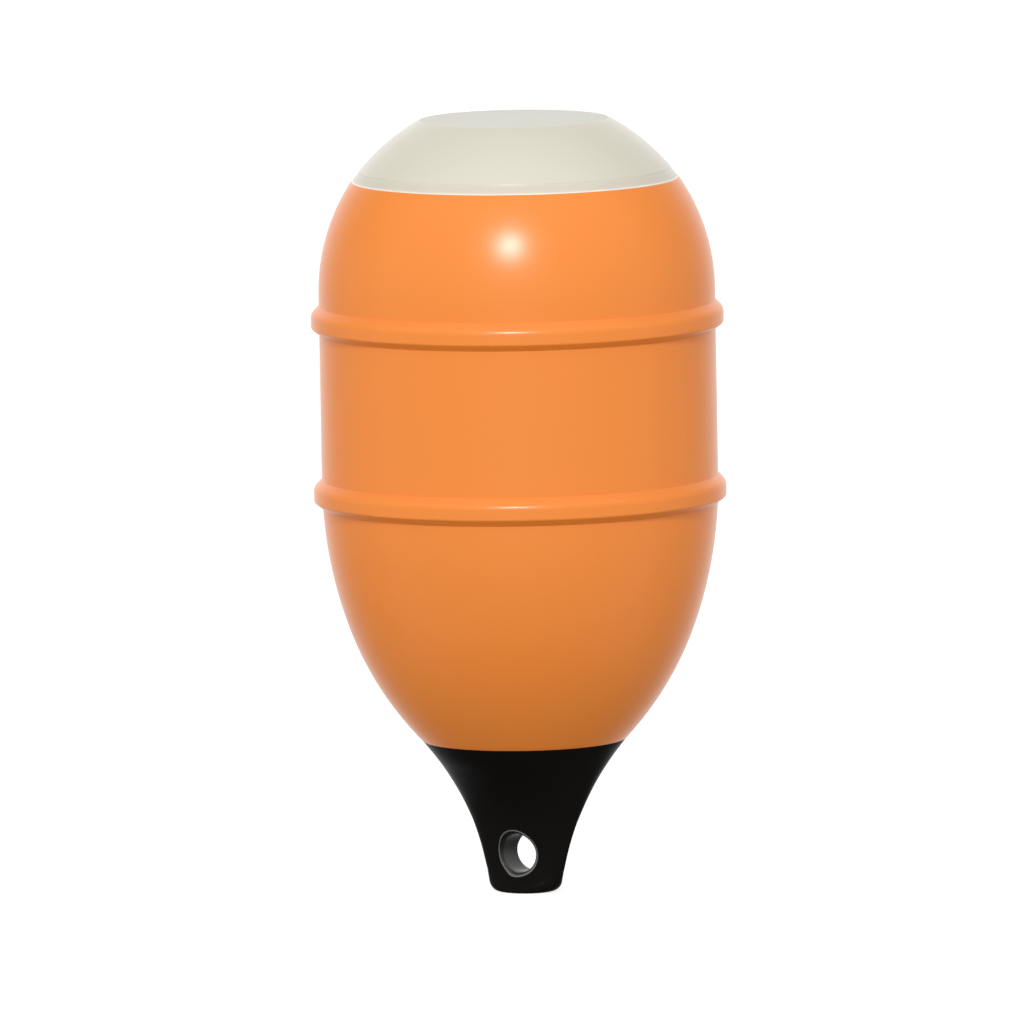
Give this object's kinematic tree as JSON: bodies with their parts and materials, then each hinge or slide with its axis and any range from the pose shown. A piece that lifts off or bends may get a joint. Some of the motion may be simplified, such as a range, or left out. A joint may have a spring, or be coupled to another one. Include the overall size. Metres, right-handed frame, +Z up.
{
  "type": "fishing buoy",
  "caption": "Barrel-shaped fishing buoy: hollow orange float with rubbing hoops, pale top cap and a dark moulded tail with a rope eye.",
  "frame": {"origin": "on the float's axis at the loaded waterline, halfway between the two hoops", "axes": "+Z up along the float's axis towards the cap; Y along the rope eye through the tail; +X to the right seen from -Y"},
  "size_m": [0.2602, 0.2602, 0.4899],
  "materials": {
    "orange_plastic": "smooth moulded float plastic with a soft sheen",
    "hoop_plastic": "smooth moulded float plastic with a soft sheen",
    "pale_plastic": "smooth pale moulded plastic",
    "disc_plastic": "smooth pale moulded plastic",
    "black_plastic": "satin black moulded plastic",
    "liner_plastic": "satin dark moulded plastic"
  },
  "bodies": {
    "root": {"body_shell": "orange_plastic", "upper_hoop": "hoop_plastic", "lower_hoop": "hoop_plastic", "top_cap": "pale_plastic", "cap_disc": "disc_plastic", "tail": "black_plastic", "eye_liner": "liner_plastic"}
  },
  "joints": []
}
